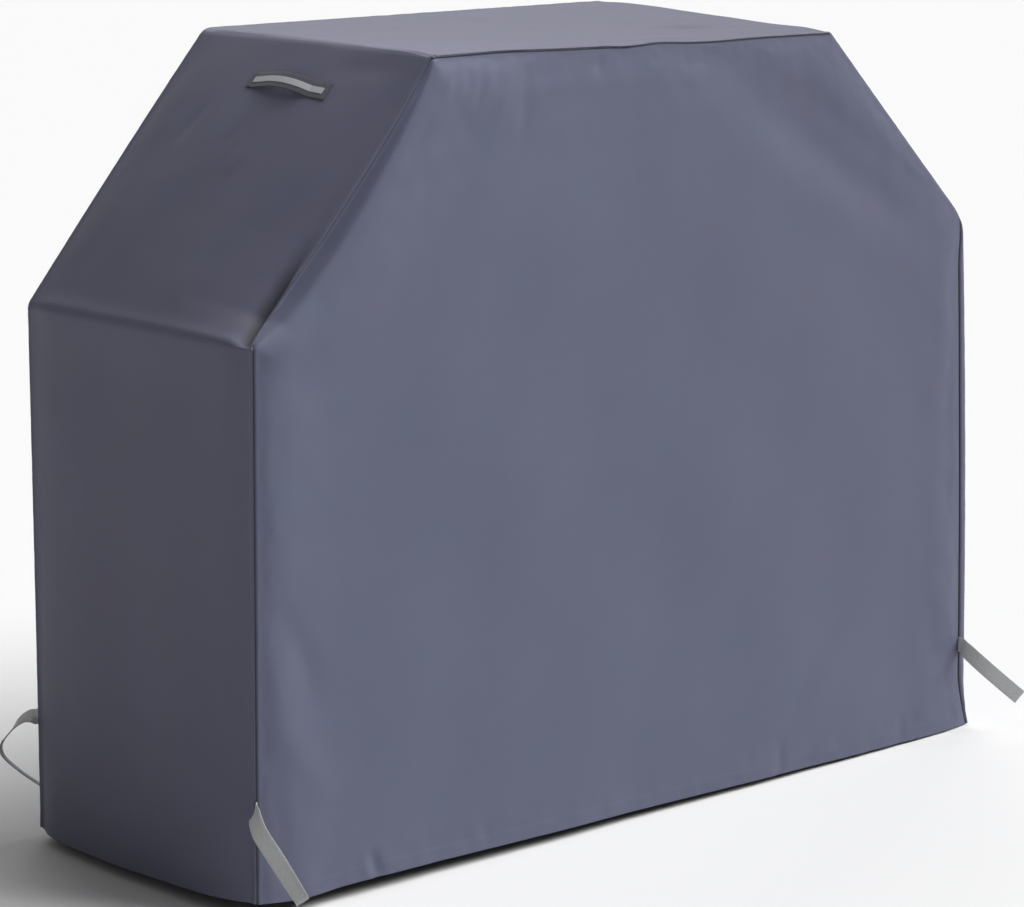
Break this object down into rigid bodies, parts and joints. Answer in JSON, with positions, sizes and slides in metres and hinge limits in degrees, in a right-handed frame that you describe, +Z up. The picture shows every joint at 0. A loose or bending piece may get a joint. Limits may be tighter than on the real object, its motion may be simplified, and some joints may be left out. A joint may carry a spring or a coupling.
{
  "type": "fitted barbecue cover",
  "caption": "Fitted fabric cover that keeps a trolley barbecue dry, with a flat top, sloping shoulders, straight sides, webbing handles and loose tie straps.",
  "frame": {"origin": "middle of the top's underside, where the cover rests on what it covers", "axes": "+X along the cover's length to the user's right, -Y towards the front, +Z up"},
  "size_m": [1.5599, 0.7392, 1.2059],
  "materials": {
    "band_cloth": "coated plain-weave polyester, slate blue grey, faint satin sheen",
    "panel_cloth": "coated plain-weave polyester, slate blue grey, faint satin sheen",
    "handle_webbing": "ribbed woven webbing, dark slate",
    "strap_webbing": "ribbed woven webbing, mid grey",
    "pale_tape": "smooth woven tape, pale grey, slightly shiny"
  },
  "bodies": {
    "root": {"side_top_band": "band_cloth", "front_panel": "panel_cloth", "back_panel": "panel_cloth", "handle_left": "handle_webbing", "handle_left_tape": "pale_tape", "handle_right": "handle_webbing", "handle_right_tape": "pale_tape", "strap_front_left": "strap_webbing", "strap_front_right": "strap_webbing", "strap_rear_left": "strap_webbing", "strap_rear_right": "strap_webbing"}
  },
  "joints": []
}
